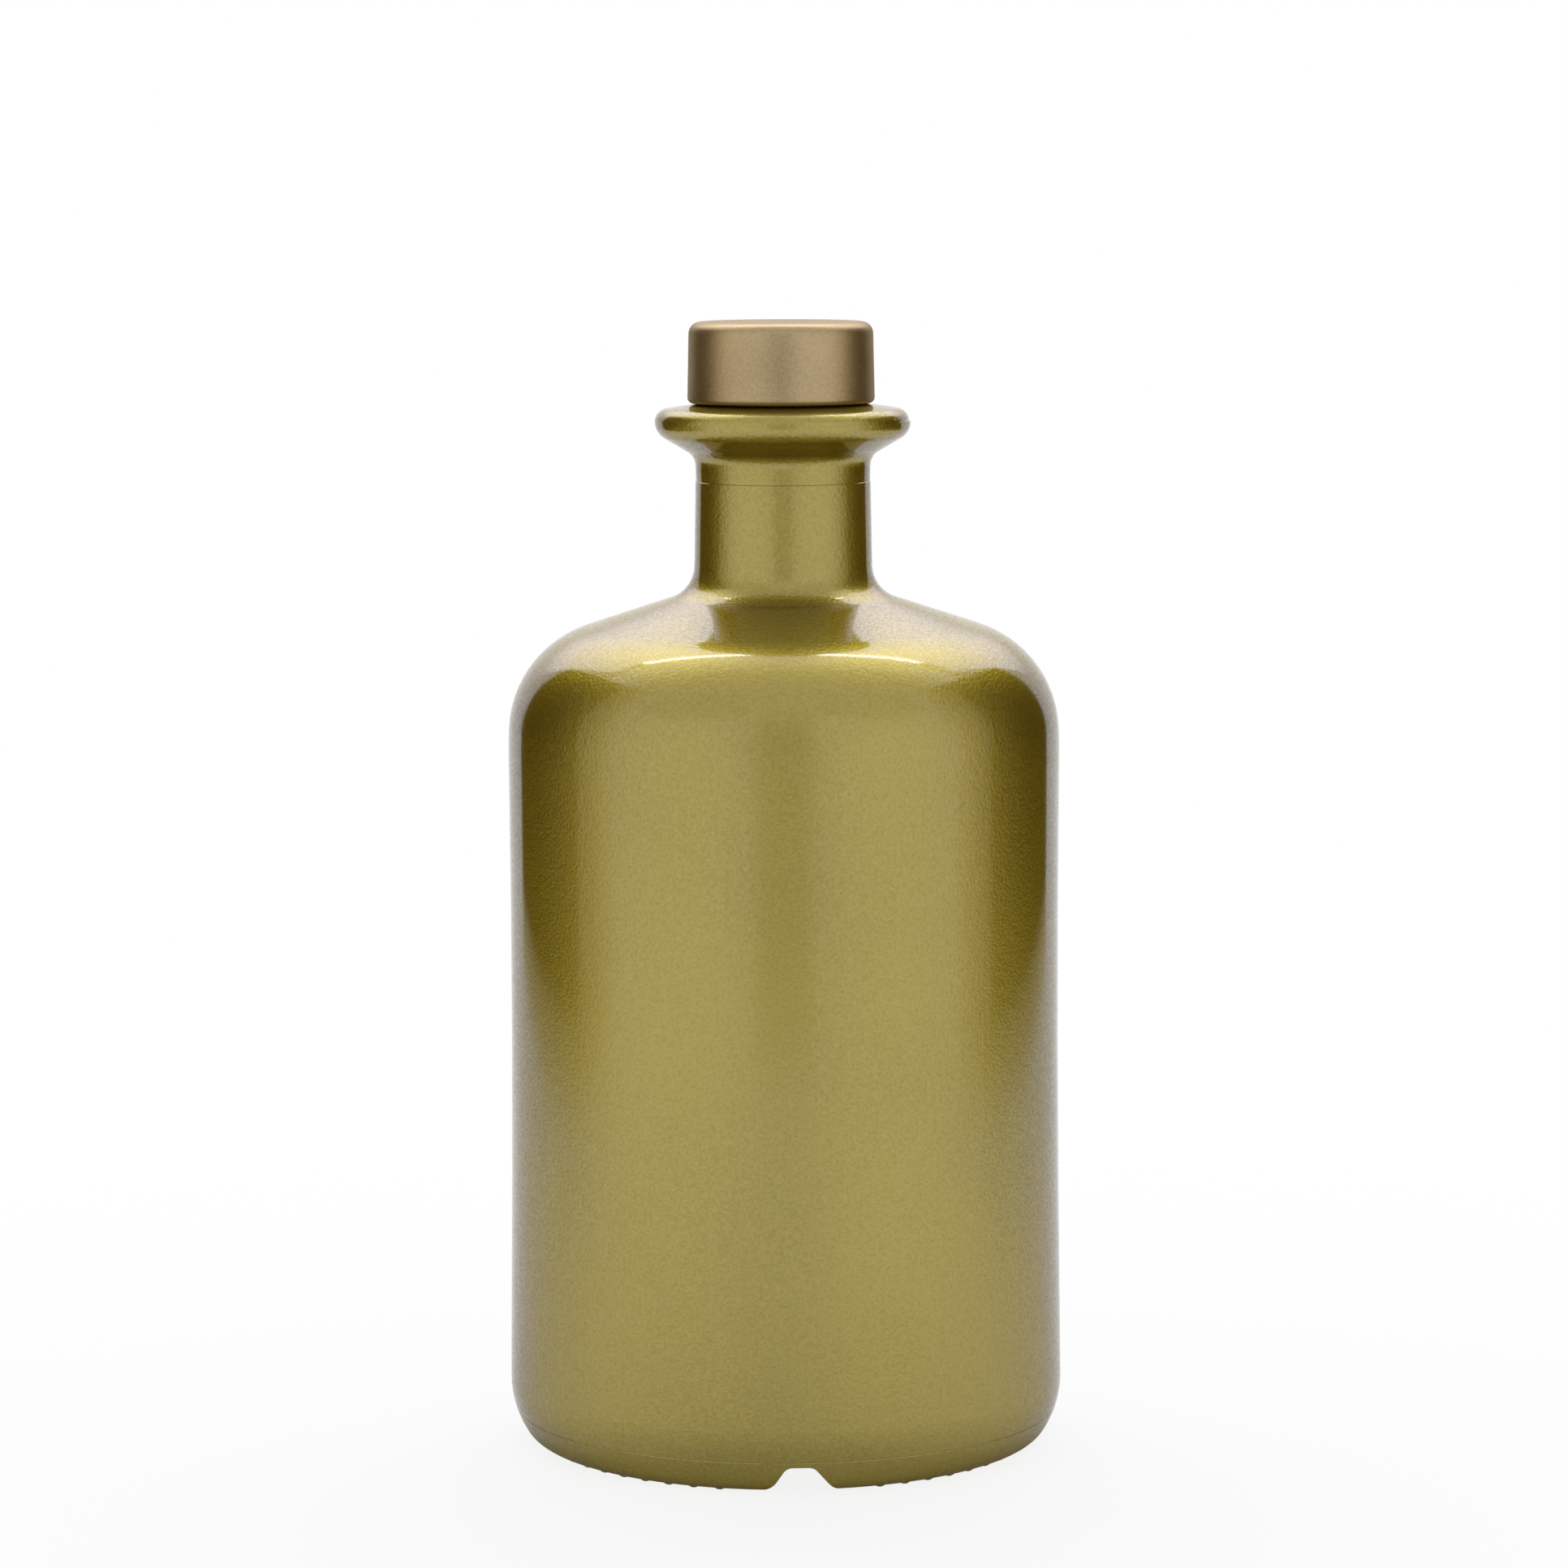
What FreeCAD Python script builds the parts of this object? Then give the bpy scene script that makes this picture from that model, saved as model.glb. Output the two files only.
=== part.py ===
import FreeCAD, Part
import math
import os

# A half-litre apothecary bottle of liquid lecithin, shut with a stopper that has a drawn metal
# head. The glass is lacquered all over and can't be seen into, so the bottle is one solid up to
# its lip. Millimetres. The origin is the centre of the circle that the bottle stands on, +Z runs
# up the neck, and -Y is the front.

Vector = FreeCAD.Vector
ORIGIN = Vector(0, 0, 0)
UP = Vector(0, 0, 1)

# Underside: a knurled bearing ring round a shallow push-up
knurl_height = 0.22
knurl_width = 1.4
knurl_length = 3.0
knurl_count = 52
knurl_inset = 0.8
knurl_gap_deg = 18.7
bearing_width = 2.6
bearing_edge_rounding = 4.0
push_up_height = 3.4
push_up_fall = 0.6
push_up_slope_width = 4.6
push_up_rounding = 8.0
push_up_foot_rounding = 2.0

# Heel: the turn from the bearing ring to the wall, in two roundings
body_radius = 42.06
ring_inset = 5.36
heel_lower_inset = 3.13
heel_lower_rise = 0.4
heel_lower_rounding = 4.0
heel_upper_rise = 5.3
heel_upper_rounding = 14.0

# Wall: very slightly waisted between the heel and the shoulder
waist_rise = 66.3
waist_inset = 0.80
wall_height = 100.83
shoulder_inset = 0.45

# Shoulder: a barely leaning top of the wall, then the round corner up to the neck
lean_rise = 13.8
lean_inset = 1.09
lean_rounding = 80.0
shoulder_rise = 9.1
shoulder_rounding = 16.9

# Neck, with draft towards both ends and the parting step where the finish mould begins
neck_radius = 13.17
neck_root_draft = 0.3
neck_root_rounding = 5.3
neck_lower_length = 16.37
neck_step = 0.08
neck_upper_length = 3.8
neck_top_draft = 0.03

# Lip: a flared underside, a round edge and a crowned top that rises to the stopper head's seat
lip_root_rounding = 2.5
lip_radius = 19.24
lip_flare_rise = 3.55
lip_lower_rounding = 2.9
lip_parting_rise = 1.66
lip_upper_rise = 1.67
lip_upper_rounding = 1.95
lip_crown_deg = 8.5
lip_mismatch = 0.14

# Parting groove round the heel
groove_rise = 5.0
groove_depth = 0.07
groove_wire_radius = 0.12

# Locating notch through the heel, and how far it and the knurls are turned round the bottle
notch_turn_deg = 3.3
notch_height = 4.1
notch_left_half = 2.3
notch_right_half = 1.7
notch_left_flank_deg = 59.0
notch_right_flank_deg = 49.5
notch_top_rounding = 1.6
notch_foot_rounding = 3.2
notch_fall_deg = 5.0
notch_reach = 15.0

# Stopper's head: a drawn cup with a rolled lower edge, which overhangs its seat on the lip
head_radius = 14.08
head_taper = 0.26
head_height = 12.2
head_lower_rounding = 0.85
head_upper_rounding = 1.8
head_overhang = 1.2
head_offset = -0.25

# Room for cutters to start and end outside the glass, how far the notch's flared feet run out
# under the ring, and the least step at a parting plane
CUT_MARGIN = 5.0
NOTCH_FOOT_DROP = 0.05
PARTING_CLEARANCE = 0.01
# Points nearer than this are one point, and half a turn under this is a parabola's
SAME_POINT = 1e-6
SLIGHT_TURN = math.radians(2.5)


def turn_between(before, corner, after):
    """The angle in radians by which a path turns at a corner."""
    return (corner - before).getAngle(after - corner)


def blend(start, corner, end, half_turn):
    """A tangent arc round a corner, or a parabola where the turn is too slight for an arc."""
    if half_turn < SLIGHT_TURN:
        curve = Part.BezierCurve()
        curve.setPoles([start, corner, end])
        return curve.toShape()
    radius = (start - corner).Length / math.tan(half_turn)
    inward = (start + end - corner * 2).normalize()
    middle = corner + inward * (radius / math.cos(half_turn) - radius)
    return Part.Arc(start, middle, end).toShape()


def rounded_path(corners):
    """Straight runs joined by tangent blends, through corners of (x, z, rounding).

    A rounding that would run past its own legs is limited to what they can take.
    """
    points = [Vector(x, 0, z) for x, z, _ in corners]
    reaches = [0.0] * len(corners)
    for i in range(1, len(corners) - 1):
        half_turn = turn_between(points[i - 1], points[i], points[i + 1]) / 2
        reaches[i] = corners[i][2] * math.tan(half_turn)
    for i in range(len(corners) - 1):
        leg = (points[i + 1] - points[i]).Length
        wanted = reaches[i] + reaches[i + 1]
        if wanted > leg:
            reaches[i] *= leg / wanted
            reaches[i + 1] *= leg / wanted
    edges = []
    cursor = points[0]
    for i in range(1, len(corners) - 1):
        half_turn = turn_between(points[i - 1], points[i], points[i + 1]) / 2
        if reaches[i] > SAME_POINT:
            into = (points[i] - points[i - 1]).normalize()
            away = (points[i + 1] - points[i]).normalize()
            start = points[i] - into * reaches[i]
            end = points[i] + away * reaches[i]
            if (start - cursor).Length > SAME_POINT:
                edges.append(Part.LineSegment(cursor, start).toShape())
            edges.append(blend(start, points[i], end, half_turn))
            cursor = end
        else:
            edges.append(Part.LineSegment(cursor, points[i]).toShape())
            cursor = points[i]
    if (points[-1] - cursor).Length > SAME_POINT:
        edges.append(Part.LineSegment(cursor, points[-1]).toShape())
    return edges


def section(corners):
    """The flat face inside a rounded path and the straight line that closes it."""
    edges = rounded_path(corners)
    first = Vector(corners[0][0], 0, corners[0][1])
    last = Vector(corners[-1][0], 0, corners[-1][1])
    edges.append(Part.LineSegment(last, first).toShape())
    return Part.Face(Part.Wire(edges))


def turned(corners):
    """The solid that a path from the axis back to the axis makes when it is spun round Z."""
    return section(corners).revolve(ORIGIN, UP, 360)


# Radii that follow from the driving sizes
ring_outer = body_radius - ring_inset
ring_inner = ring_outer - bearing_width
heel_lower_radius = body_radius - heel_lower_inset
waist_radius = body_radius - waist_inset
shoulder_radius = body_radius - shoulder_inset
shoulder_corner_radius = body_radius - lean_inset
neck_root_radius = neck_radius + neck_root_draft
neck_top_radius = neck_radius + neck_top_draft
head_flat_radius = head_radius - head_lower_rounding

# Levels, each from the one below
ring_level = knurl_height
heel_corner_level = ring_level + heel_lower_rise + heel_upper_rise
waist_level = heel_corner_level + waist_rise
lean_level = heel_corner_level + wall_height
shoulder_level = lean_level + lean_rise
neck_root_level = shoulder_level + shoulder_rise
neck_step_level = neck_root_level + neck_lower_length
lip_root_level = neck_step_level + neck_upper_length
lip_flare_level = lip_root_level + lip_flare_rise
parting_level = lip_flare_level + lip_parting_rise
lip_corner_level = parting_level + lip_upper_rise

# The upper half of the lip is smaller by its sideways mismatch, so it never juts out of the lower.
# Its crown rises inwards to the flat that carries the stopper's head.
lip_upper_radius = lip_radius - lip_mismatch - PARTING_CLEARANCE
seat_radius = head_flat_radius - head_overhang
crown_run = lip_upper_radius - seat_radius
seat_level = lip_corner_level + crown_run * math.tan(math.radians(lip_crown_deg))


def glass_below_parting():
    """The glass from the push-up to the lip's parting plane."""
    push_up_edge = ring_inner - push_up_slope_width
    corners = [
        (0, ring_level + push_up_height, 0),
        (push_up_edge, ring_level + push_up_height - push_up_fall, push_up_rounding),
        (ring_inner, ring_level, push_up_foot_rounding),
        (ring_outer, ring_level, bearing_edge_rounding),
        (heel_lower_radius, ring_level + heel_lower_rise, heel_lower_rounding),
        (body_radius, heel_corner_level, heel_upper_rounding),
        (waist_radius, waist_level, waist_rounding()),
        (shoulder_radius, lean_level, lean_rounding),
        (shoulder_corner_radius, shoulder_level, shoulder_rounding),
        (neck_root_radius, neck_root_level, neck_root_rounding),
        (neck_radius, neck_step_level, 0),
        (neck_radius - neck_step, neck_step_level + neck_step, 0),
        (neck_top_radius, lip_root_level, lip_root_rounding),
        (lip_radius, lip_flare_level, lip_lower_rounding),
        (lip_radius, parting_level, 0),
        (0, parting_level, 0),
    ]
    return turned(corners)


def waist_rounding():
    """The rounding that uses nine tenths of the wall's shorter half."""
    below = Vector(body_radius, 0, heel_corner_level)
    waist = Vector(waist_radius, 0, waist_level)
    above = Vector(shoulder_radius, 0, lean_level)
    shorter = min((waist - below).Length, (above - waist).Length)
    return 0.9 * shorter / math.tan(turn_between(below, waist, above) / 2)


def lip_above_parting():
    """The finish mould's half of the lip, which sits a little to one side of the lower half."""
    corners = [
        (0, parting_level, 0),
        (lip_upper_radius, parting_level, 0),
        (lip_upper_radius, lip_corner_level, lip_upper_rounding),
        (seat_radius, seat_level, 0),
        (0, seat_level, 0),
    ]
    lip = turned(corners)
    lip.translate(Vector(-lip_mismatch, 0, 0))
    return lip


def knurl(angle_deg):
    """One radial bar with round ends, whose lowest line is what the bottle stands on."""
    half_width = knurl_width / 2
    radius = (half_width ** 2 + knurl_height ** 2) / (2 * knurl_height)
    centre = ring_outer - knurl_inset
    straight = knurl_length - knurl_width
    inner = Vector(0, -(centre - straight / 2), radius)
    outer = Vector(0, -(centre + straight / 2), radius)
    bar = Part.makeCylinder(radius, straight, inner, outer - inner)
    bar = bar.multiFuse([Part.makeSphere(radius, inner), Part.makeSphere(radius, outer)])
    bar.rotate(ORIGIN, UP, angle_deg)
    return bar


def knurls():
    """Bars all round the ring, apart from a plain stretch on both sides of the notch."""
    sweep = 360 - 2 * knurl_gap_deg
    step = sweep / (knurl_count - 1)
    return [knurl(notch_turn_deg + knurl_gap_deg + i * step) for i in range(knurl_count)]


def notch():
    """The cutter for the locating notch: a flared channel that falls towards the push-up."""
    foot = ring_level - NOTCH_FOOT_DROP
    rise = notch_height - foot
    left_foot = -notch_left_half - rise / math.tan(math.radians(notch_left_flank_deg))
    right_foot = notch_right_half + rise / math.tan(math.radians(notch_right_flank_deg))
    corners = [
        (left_foot - CUT_MARGIN, foot - CUT_MARGIN, 0),
        (left_foot - CUT_MARGIN, foot, 0),
        (left_foot, foot, notch_foot_rounding),
        (-notch_left_half, notch_height, notch_top_rounding),
        (notch_right_half, notch_height, notch_top_rounding),
        (right_foot, foot, notch_foot_rounding),
        (right_foot + CUT_MARGIN, foot, 0),
        (right_foot + CUT_MARGIN, foot - CUT_MARGIN, 0),
    ]
    fall = math.tan(math.radians(notch_fall_deg))
    outward = ring_inset + CUT_MARGIN
    run = outward + notch_reach
    mouth = section(corners)
    mouth.translate(Vector(0, -ring_outer - outward, outward * fall))
    cutter = mouth.extrude(Vector(0, run, -run * fall))
    cutter.rotate(ORIGIN, UP, notch_turn_deg)
    return cutter


def heel_groove(glass):
    """The cutter for the fine groove where the base plate and the wall mould meet."""
    level = ring_level + groove_rise
    surface_radius = glass.slice(UP, level)[0].BoundBox.XLength / 2
    wire_centre_radius = surface_radius + groove_wire_radius - groove_depth
    return Part.makeTorus(wire_centre_radius, groove_wire_radius, Vector(0, 0, level), UP)


def bottle():
    """The glass: both lip halves, the knurls, the notch and the heel's groove."""
    glass = glass_below_parting()
    glass = glass.cut(heel_groove(glass))
    glass = glass.multiFuse([lip_above_parting()] + knurls())
    return glass.cut(notch())


def stopper_head():
    """The metal cup on the stopper, seated on the lip's flat."""
    top_level = seat_level + head_height
    corners = [
        (0, seat_level, 0),
        (head_radius, seat_level, head_lower_rounding),
        (head_radius - head_taper, top_level, head_upper_rounding),
        (0, top_level, 0),
    ]
    head = turned(corners)
    head.translate(Vector(head_offset, 0, 0))
    return head


os.makedirs("parts", exist_ok=True)
for name, shape in (("bottle", bottle()), ("stopper_head", stopper_head())):
    shape.exportStep("parts/" + name + ".step")
    print(name, "solids:", len(shape.Solids), "valid:", shape.isValid(),
          "volume:", round(shape.Volume), "mm3, top at", round(shape.BoundBox.ZMax, 2))
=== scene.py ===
# %% [markdown]
# # A lacquered apothecary bottle
#
# The bottle holds half a litre of liquid lecithin. It is moulded glass, sprayed all over with a
# gold-olive metallic lacquer under a clear gloss coat, and it is shut with a stopper that has a
# drawn, satin metal head. Its exact shape comes in as a fixed frame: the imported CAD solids, in
# metres, with the floor at z = 0, the front towards -Y and the neck along +Z.

# %% Load the frame and keep its size
import math
import bpy
from mathutils import Matrix, Vector


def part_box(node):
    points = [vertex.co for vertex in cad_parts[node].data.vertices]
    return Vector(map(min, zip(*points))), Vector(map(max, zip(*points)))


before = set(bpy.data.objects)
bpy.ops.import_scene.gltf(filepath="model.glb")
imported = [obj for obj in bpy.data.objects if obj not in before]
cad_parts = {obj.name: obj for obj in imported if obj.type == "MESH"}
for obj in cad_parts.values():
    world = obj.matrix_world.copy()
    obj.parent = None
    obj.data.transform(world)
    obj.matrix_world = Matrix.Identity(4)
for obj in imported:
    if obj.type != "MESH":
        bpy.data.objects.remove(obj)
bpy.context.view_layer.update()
bpy.ops.object.select_all(action="DESELECT")

# %% [markdown]
# ## Where things are
#
# Two boxes say how large the object is: the glass, and the stopper's head that stands on it. The
# glass's radius is kept, because the shadow on the floor starts where the bottle ends. The camera
# and the lamps are placed one by one, so their places are plain numbers.

# %% Measure the glass and the head
glass_low, glass_high = (Vector(corner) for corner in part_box("bottle"))
head_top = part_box("stopper_head")[1][2]
body_radius = (glass_high.y - glass_low.y) / 2
print("body radius", round(body_radius, 4), "glass height", round(glass_high.z, 4),
      "whole height", round(head_top, 4))

# %% [markdown]
# ## Camera
#
# A product camera stands well back with a long lens, so that the sides of the bottle stay
# nearly parallel. It is a little higher than the stopper and looks slightly down, and it isn't
# perfectly level. Lengths are in metres, and the two turns are in radians.

# %% Place the camera
CAMERA_BACK = 0.8027
CAMERA_HEIGHT = 0.19273
CAMERA_DOWN = 0.1148
CAMERA_ROLL = -0.0033
LENS_MM = 122.58
SENSOR_MM = 36.0

camera_data = bpy.data.cameras.new("camera")
camera_data.lens = LENS_MM
camera_data.sensor_width = SENSOR_MM
camera = bpy.data.objects.new("camera", camera_data)
bpy.context.scene.collection.objects.link(camera)
camera.matrix_world = (Matrix.Translation((0, -CAMERA_BACK, CAMERA_HEIGHT))
                       @ Matrix.Rotation(math.pi / 2 - CAMERA_DOWN, 4, "X")
                       @ Matrix.Rotation(CAMERA_ROLL, 4, "Z"))
bpy.context.scene.camera = camera
bpy.context.scene.view_settings.view_transform = "Standard"
print("camera at", [round(v, 3) for v in camera.matrix_world.translation])

# %% [markdown]
# ## Arithmetic for shaders
#
# A material is a graph of nodes. Wiring each addition by hand hides the idea behind the wires, so
# a socket that carries a number is wrapped in a small class with the usual operators: adding two
# of them adds a Math node. Any other node comes from one method, which takes the node's type, its
# settings, and then what goes into its sockets. Soft steps are so common here that they get a
# method of their own.

# %% Define the node helpers
class Value:
    """A number that changes over a surface, with arithmetic that adds Math nodes."""

    def __init__(self, graph, socket):
        self.graph = graph
        self.socket = socket

    def math(self, operation, first, second):
        node = self.graph.node("Math", {"operation": operation}, {0: first, 1: second})
        return Value(self.graph, node.outputs[0])

    def __add__(self, other):
        return self.math("ADD", self, other)

    def __radd__(self, other):
        return self.math("ADD", other, self)

    def __sub__(self, other):
        return self.math("SUBTRACT", self, other)

    def __rsub__(self, other):
        return self.math("SUBTRACT", other, self)

    def __mul__(self, other):
        return self.math("MULTIPLY", self, other)

    def __rmul__(self, other):
        return self.math("MULTIPLY", other, self)

    def __abs__(self):
        return self.math("ABSOLUTE", self, 0.0)

    def at_least(self, other):
        return self.math("MAXIMUM", self, other)


class Graph:
    """The nodes of one material or of the world."""

    def __init__(self, owner):
        owner.use_nodes = True
        self.tree = owner.node_tree

    def node(self, kind, settings=None, sockets=None):
        made = self.tree.nodes.new("ShaderNode" + kind)
        for name, value in (settings or {}).items():
            if name == "stops":
                ramp = made.color_ramp
                for spare in range(len(value) - len(ramp.elements)):
                    ramp.elements.new(1.0)
                for element, (place, colour) in zip(ramp.elements, value):
                    element.position = place
                    element.color = colour
            else:
                setattr(made, name, value)
        self.fill(made, sockets or {})
        return made

    def fill(self, made, sockets):
        for name, value in sockets.items():
            if isinstance(value, Value):
                self.tree.links.new(value.socket, made.inputs[name])
            elif isinstance(value, bpy.types.NodeSocket):
                self.tree.links.new(value, made.inputs[name])
            else:
                made.inputs[name].default_value = value

    def value(self, kind, settings, sockets, output=0):
        return Value(self, self.node(kind, settings, sockets).outputs[output])

    def soft_step(self, number, start, end, low=0.0, high=1.0):
        """Runs smoothly from low, where the number is at start, to high, where it is at end."""
        return self.value("MapRange", {"interpolation_type": "SMOOTHSTEP"},
                          {"Value": number, "From Min": start, "From Max": end,
                           "To Min": low, "To Max": high})


print("helpers ready")

# %% [markdown]
# ## Metallic lacquer
#
# The lacquer is two finishes in one. Tiny metal flakes lie almost flat in a gold-olive binder and
# give a wide, soft sheen that dies away towards the edges. Over them is a clear coat that mirrors
# the room, faintly from the front and strongly at the edges. The Principled shader has both: a
# rough metallic base, whose dark Specular Tint takes the sheen off the edges, and a sharp coat.
#
# A flake could be a separate little mirror, but there are millions. So three noises stand for
# what the eye sees: the flakes, the orange peel of a sprayed surface, and the slow clouds where
# the spray lay thicker. Flakes and clouds tint the base. A Bump node turns flakes and peel into
# tilted normals, which gives the mirrored edges their grain, and the clear coat is fuller over
# a flake than between two.
#
# The gun reaches the foot of the heel and the underside only at a glancing angle, so there the
# lacquer is a little rougher and has less of the clear coat.

# %% Make the lacquer
LACQUER = (0.405, 0.321, 0.0555, 1.0)
LACQUER_DEEP = (0.335, 0.263, 0.042, 1.0)
LACQUER_EDGE = (0.2, 0.16, 0.1, 1.0)
FINE_DETAIL = 1.0
SLOW_DETAIL = 3.0
FLAKE_SIZE = 0.00045
PEEL_SIZE = 0.0016
CLOUD_SIZE = 0.035
GRAIN_HEIGHT = 0.00003
FLAKE_RELIEF = 2.2
PEEL_RELIEF = 1.2
CLOUD_SHARE = 0.35
TONE_START = 0.3
TONE_END = 0.6
BASE_ROUGHNESS = 0.38
FLAKE_ROUGHNESS = 0.08
THIN_ROUGHNESS = 0.06
COAT_LEAST = 0.40
COAT_OVER_FLAKES = 0.95
COAT_LOST_WHERE_THIN = 0.65
COAT_ROUGHNESS = 0.10
COAT_IOR = 1.65
HEEL_HEIGHT = 0.006


def noise(graph, size, detail):
    """Soft random lumps of the given size in metres, from 0 to 1 with an average of 0.5."""
    place = graph.node("TexCoord").outputs["Object"]
    return graph.value("TexNoise", {}, {"Vector": place, "Scale": 1 / size, "Detail": detail})


def along(graph, axis):
    """The place along one axis of the frame, in metres."""
    place = graph.node("TexCoord").outputs["Object"]
    return graph.value("SeparateXYZ", {}, {0: place}, axis)


lacquer = bpy.data.materials.new("gold_olive_lacquer")
nodes = Graph(lacquer)
flakes = noise(nodes, FLAKE_SIZE, FINE_DETAIL)
peel = noise(nodes, PEEL_SIZE, FINE_DETAIL)
clouds = noise(nodes, CLOUD_SIZE, SLOW_DETAIL)
thin = nodes.soft_step(along(nodes, "Z"), HEEL_HEIGHT, 0.0)
tone = nodes.node("ValToRGB", {"stops": [(TONE_START, LACQUER_DEEP), (TONE_END, LACQUER)]},
                  {"Fac": CLOUD_SHARE * clouds + (1 - CLOUD_SHARE) * flakes})
relief = nodes.node("Bump", {}, {"Height": FLAKE_RELIEF * flakes + PEEL_RELIEF * peel,
                                 "Distance": GRAIN_HEIGHT, "Strength": 1.0})
nodes.fill(nodes.tree.nodes["Principled BSDF"], {
    "Base Color": tone.outputs["Color"],
    "Metallic": 1.0,
    "Specular Tint": LACQUER_EDGE,
    "Roughness": BASE_ROUGHNESS + FLAKE_ROUGHNESS * flakes + THIN_ROUGHNESS * thin,
    "Coat Weight": (COAT_LEAST + COAT_OVER_FLAKES * flakes) * (1 - COAT_LOST_WHERE_THIN * thin),
    "Coat Roughness": COAT_ROUGHNESS,
    "Coat IOR": COAT_IOR,
    "Normal": relief.outputs["Normal"],
})
print("lacquer has", len(nodes.tree.nodes), "nodes")

# %% [markdown]
# ## Satin metal
#
# The stopper's head is a drawn aluminium cup, blasted and then anodised to a bronze beige. It has
# no gloss coat, so its reflections are wide and quiet. A grain a little finer than the lacquer's,
# and faint stains, keep it from looking like plastic.

# %% Make the satin metal
SATIN = (0.485, 0.372, 0.212, 1.0)
SATIN_DEEP = (0.375, 0.283, 0.153, 1.0)
SATIN_EDGE = (0.46, 0.46, 0.46, 1.0)
BLAST_SIZE = 0.0004
BLAST_HEIGHT = 0.00001
STAIN_SIZE = 0.011
STAIN_SHARE = 0.5
SATIN_ROUGHNESS = 0.36
BLAST_ROUGHNESS = 0.08

satin = bpy.data.materials.new("bronze_satin_metal")
nodes = Graph(satin)
grain = noise(nodes, BLAST_SIZE, FINE_DETAIL)
stains = noise(nodes, STAIN_SIZE, SLOW_DETAIL)
tone = nodes.node("ValToRGB", {"stops": [(TONE_START, SATIN_DEEP), (TONE_END, SATIN)]},
                  {"Fac": STAIN_SHARE * stains + (1 - STAIN_SHARE) * grain})
relief = nodes.node("Bump", {}, {"Height": grain, "Distance": BLAST_HEIGHT, "Strength": 1.0})
nodes.fill(nodes.tree.nodes["Principled BSDF"], {
    "Base Color": tone.outputs["Color"],
    "Metallic": 1.0,
    "Specular Tint": SATIN_EDGE,
    "Roughness": SATIN_ROUGHNESS + BLAST_ROUGHNESS * grain,
    "Normal": relief.outputs["Normal"],
})
print("satin metal has", len(nodes.tree.nodes), "nodes")

# %% [markdown]
# ## Dress the frame
#
# Both solids already have their shape: the body with its knurled ring and its notch, the neck
# with the small step of its mould, the flared lip, and the drawn head with its rounded rims. They
# could be modelled again here, but a copy could only be less exact, so each keeps its mesh and
# gets its finish in its own slots.

# %% Put each finish in its slots
for name, material in (("bottle", lacquer), ("stopper_head", satin)):
    slots = bpy.data.objects[name].material_slots
    for slot in slots:
        slot.material = material
    print(name, "wears", material.name, "in", len(slots), "slot(s)")

# %% [markdown]
# ## White paper
#
# The bottle stands on a sheet of white paper. A floor lit until it is white would throw far too
# much light on the object. So the paper and the world are plain white to the camera, and to
# anything shiny that looks at them, while the light that they give the object stays at a plain
# level. Near the bottle the paper shows a small share of its real shade, which is the bottle's
# shadow, and a mirrored look at that ring, as the glossy heel has, shows most of it.

# %% Lay the floor and set the world
FLOOR_SIZE = 8.0
PAPER = (0.85, 0.85, 0.85, 1.0)
WHITE = (1.0, 1.0, 1.0, 1.0)
SHADOW_SHARE = 0.13
MIRRORED_SHARE = 0.8
SHADOW_REACH = 0.30
WORLD_LIGHT = 0.5


def ray_kinds(graph):
    """1 for a ray from the camera, off gloss or through glass, and then 1 for one off gloss."""
    path = graph.node("LightPath")
    camera_ray, mirrored, through = (
        Value(graph, path.outputs[name])
        for name in ("Is Camera Ray", "Is Glossy Ray", "Is Transmission Ray"))
    return camera_ray.at_least(mirrored).at_least(through), mirrored


bpy.ops.mesh.primitive_plane_add(size=FLOOR_SIZE, location=(0, 0, 0))
floor = bpy.context.object
floor.name = "floor"
paper = bpy.data.materials.new("white_paper")
nodes = Graph(paper)
paint = nodes.node("BsdfDiffuse", {}, {"Color": PAPER})
glow = nodes.node("Emission", {}, {"Color": WHITE, "Strength": 1.0})
place = nodes.node("TexCoord").outputs["Object"]
away = nodes.value("VectorMath", {"operation": "LENGTH"}, {0: place}, "Value")
near = nodes.soft_step(away, SHADOW_REACH, body_radius)
seen, mirrored = ray_kinds(nodes)
shadow = near * (SHADOW_SHARE + (MIRRORED_SHARE - SHADOW_SHARE) * mirrored)
mixed = nodes.node("MixShader", {}, {0: seen * (1 - shadow), 1: paint.outputs[0],
                                     2: glow.outputs[0]})
nodes.fill(nodes.tree.nodes["Material Output"], {"Surface": mixed.outputs[0]})
floor.data.materials.append(paper)

world = bpy.data.worlds.new("studio")
bpy.context.scene.world = world
nodes = Graph(world)
seen = ray_kinds(nodes)[0]
nodes.fill(nodes.tree.nodes["Background"], {"Color": WHITE,
                                            "Strength": seen + (1 - seen) * WORLD_LIGHT})
print("paper", FLOOR_SIZE, "m wide, shadow reaches", SHADOW_REACH, "m")

# %% [markdown]
# ## Flags beside the bottle
#
# A glossy bottle in an all-white room has no edges. A dark flag on each side, out of the camera's
# sight, gives the flanks the dark bands that show how round they are. A plain black board would
# end in hard lines, so a brown net, thin at its edge and then thicker, leads from white to the
# velvet, and the velvet fades out again at its foot. The brown is what a dark cloth looks like
# under warm spill. The cards are seen only in the gloss, and take no soft light from the object.
# A flag's front edge is upright, and its back edge leans forward and ends lower.

# %% Stand the flags up
FLAG_ASIDE = 0.32
FLAG_FRONT = -0.14
FLAG_FRONT_TOP = 0.45
FLAG_BACK = 0.36
FLAG_TOP_BACK = 0.31
FLAG_BACK_TOP = 0.37
NET_START = -0.12
VELVET_START = 0.005
FOOT_FADE = 0.024
THIN_NET = (0.72, 0.64, 0.44, 1.0)
THIN_NET_STOP = 0.5
NET = (0.46, 0.40, 0.26, 1.0)
NET_STOP = 0.93
VELVET = (0.075, 0.042, 0.004, 1.0)


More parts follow.
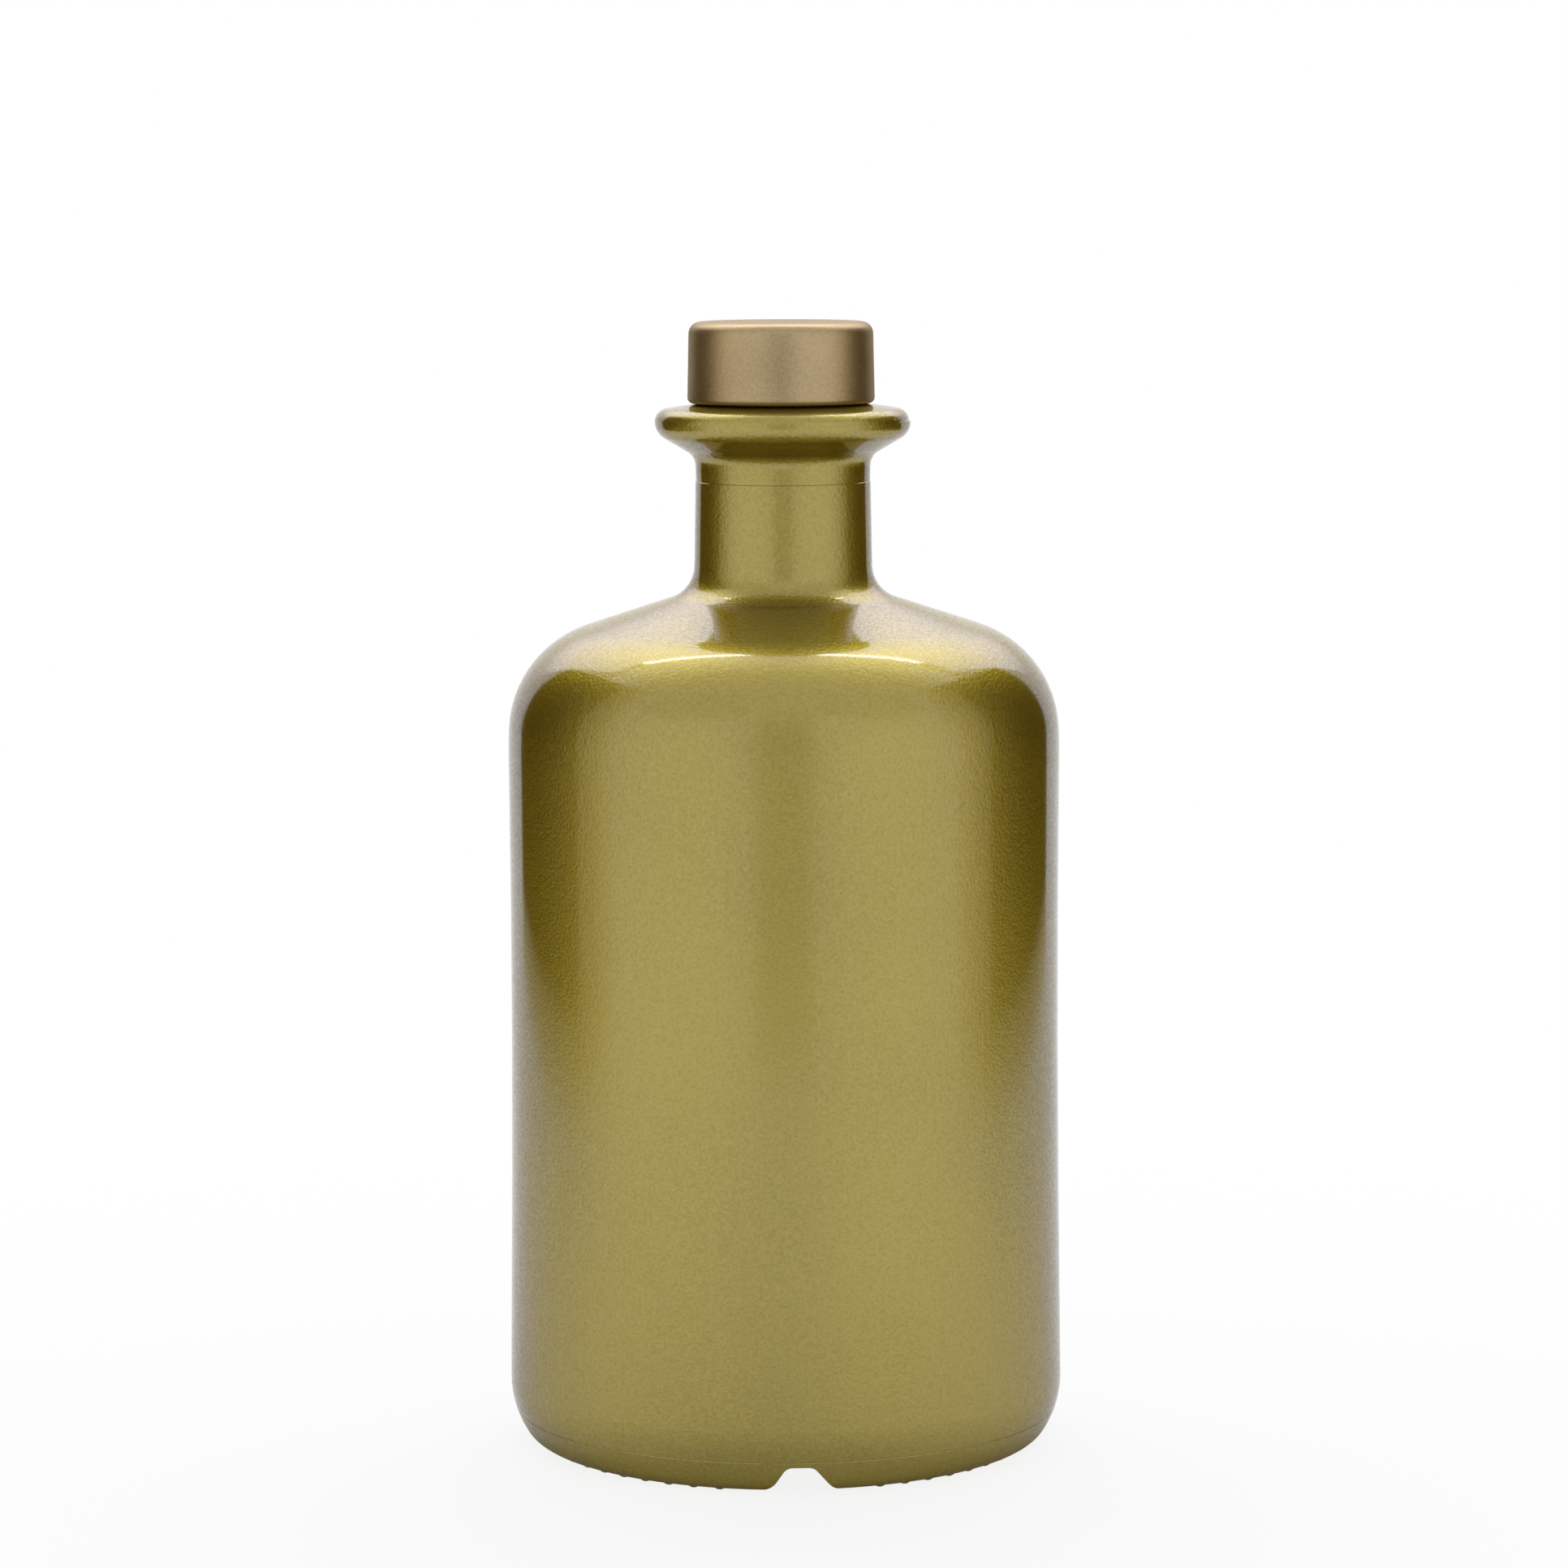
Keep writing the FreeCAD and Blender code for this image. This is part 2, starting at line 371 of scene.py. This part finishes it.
def glowing(name):
    """A material that only glows, with its Graph and its Emission node."""
    material = bpy.data.materials.new(name)
    graph = Graph(material)
    glow = graph.node("Emission", {}, {"Color": WHITE, "Strength": 1.0})
    graph.fill(graph.tree.nodes["Material Output"], {"Surface": glow.outputs[0]})
    return material, graph, glow


def card(name, corners, material):
    """A flat card that only gloss can see at first: two corners of one edge, then of the other."""
    bpy.ops.mesh.primitive_plane_add()
    made = bpy.context.object
    made.name = name
    for vertex, corner in zip(made.data.vertices, corners):
        vertex.co = corner
    made.data.materials.append(material)
    made.visible_camera = False
    made.visible_diffuse = False
    return made


velvet, nodes, glow = glowing("brown_velvet")
turn = nodes.value("MapRange", {}, {"Value": along(nodes, "Y"), "From Min": NET_START,
                                    "From Max": VELVET_START})
foot = nodes.value("MapRange", {}, {"Value": along(nodes, "Z"), "From Max": FOOT_FADE})
cloth_stops = [(0.0, WHITE), (THIN_NET_STOP, THIN_NET), (NET_STOP, NET), (1.0, VELVET)]
shade = nodes.node("ValToRGB", {"stops": cloth_stops}, {"Fac": turn * foot})
nodes.fill(glow, {"Color": shade.outputs["Color"]})
for name, x in (("flag_left", -FLAG_ASIDE), ("flag_right", FLAG_ASIDE)):
    card(name, ((x, FLAG_FRONT, 0.0), (x, FLAG_BACK, 0.0),
                (x, FLAG_FRONT, FLAG_FRONT_TOP), (x, FLAG_TOP_BACK, FLAG_BACK_TOP)), velvet)
print("flags stand", FLAG_ASIDE, "m to each side")

# %% [markdown]
# ## The gap in front
#
# Two large lamps stand either side of the camera, and the dim gap between them shows as a soft
# upright line down the middle of the bottle. One card with soft edges, which brightens towards
# its top, gives the same line.

# %% Stand the gap's card in front
GAP_AWAY = 0.45
GAP_CORE = 0.05
GAP_HALF = 0.13
GAP_LOW = 0.15
GAP_TOP = 0.70
GAP_DIM = 0.5
GAP_TOP_LIFT = 0.7

gap, nodes, glow = glowing("gap_between_lamps")
side = nodes.soft_step(abs(along(nodes, "X")), GAP_CORE, GAP_HALF)
over = nodes.soft_step(along(nodes, "Z"), GAP_LOW, GAP_TOP)
nodes.fill(glow, {"Strength": GAP_DIM + (1 - GAP_DIM) * side.at_least(GAP_TOP_LIFT * over)})
card("gap_front", ((-GAP_HALF, -GAP_AWAY, 0.0), (GAP_HALF, -GAP_AWAY, 0.0),
                   (-GAP_HALF, -GAP_AWAY, GAP_TOP), (GAP_HALF, -GAP_AWAY, GAP_TOP)), gap)
print("gap", 2 * GAP_HALF, "m wide")

# %% [markdown]
# ## Scrim, ceiling and strip lamp
#
# The main light comes from above and behind. It is a wide scrim, a sheet of cloth lit from its
# other side, and it lays the pale sheen on the shoulder. It is brightest at its near edge, and it
# widens and fades towards the back. In front of it the ceiling is dimmer than the walls, and only
# its last stretch, next to the scrim, catches some of the scrim's light. A long strip lamp hangs
# along the scrim's near edge, and it draws the two thin white arcs where the shoulder turns down.
# All of them hang at one height, and the scrim also gives the object soft light.

# %% Hang the scrim, the ceiling and the strip lamp
HANGING_HEIGHT = 0.92
SCRIM_FRONT = 0.37
SCRIM_FRONT_HALF = 0.70
SCRIM_BACK = 3.0
SCRIM_BACK_HALF = 1.8
SCRIM_FADE_START = 0.67
SCRIM_BRIGHT = 2.7
SCRIM_DIM = 1.1
SCRIM_COLOUR = (0.92, 0.93, 1.10, 1.0)
CEILING_HALF = 1.2
CEILING_FRONT = -1.0
CEILING_BACK = 0.30
CEILING_GLOW = 0.75
SPILL_START = -0.10
SPILL_GLOW = 1.7
STRIP_BACK = 0.355
STRIP_LENGTH = 0.92
STRIP_WIDTH = 0.045
STRIP_BRIGHT = 13.0


def hanging(name, front, front_half, back, back_half, material):
    """A level card at the hanging height."""
    edges = ((front, front_half), (back, back_half))
    corners = [(x, y, HANGING_HEIGHT) for y, half in edges for x in (-half, half)]
    return card(name, corners, material)


cloth, nodes, glow = glowing("lit_scrim")
fade = nodes.soft_step(along(nodes, "Y"), SCRIM_FADE_START, SCRIM_BACK, SCRIM_BRIGHT, SCRIM_DIM)
nodes.fill(glow, {"Color": SCRIM_COLOUR, "Strength": fade})
scrim = hanging("scrim", SCRIM_FRONT, SCRIM_FRONT_HALF, SCRIM_BACK, SCRIM_BACK_HALF, cloth)
scrim.visible_diffuse = True

plaster, nodes, glow = glowing("dim_ceiling")
spill = nodes.soft_step(along(nodes, "Y"), SPILL_START, CEILING_BACK, CEILING_GLOW, SPILL_GLOW)
nodes.fill(glow, {"Strength": spill})
hanging("ceiling", CEILING_FRONT, CEILING_HALF, CEILING_BACK, CEILING_HALF, plaster)

strip_data = bpy.data.lights.new("strip", "AREA")
strip_data.shape = "RECTANGLE"
strip_data.size = STRIP_LENGTH
strip_data.size_y = STRIP_WIDTH
# A flat lamp's power is its brightness times its area times pi.
strip_data.energy = STRIP_BRIGHT * math.pi * STRIP_LENGTH * STRIP_WIDTH
strip = bpy.data.objects.new("strip", strip_data)
bpy.context.scene.collection.objects.link(strip)
strip.location = (0, STRIP_BACK, HANGING_HEIGHT)
print("scrim", round(SCRIM_BACK - SCRIM_FRONT, 2), "m deep")
print("strip", round(strip_data.energy, 2), "W")
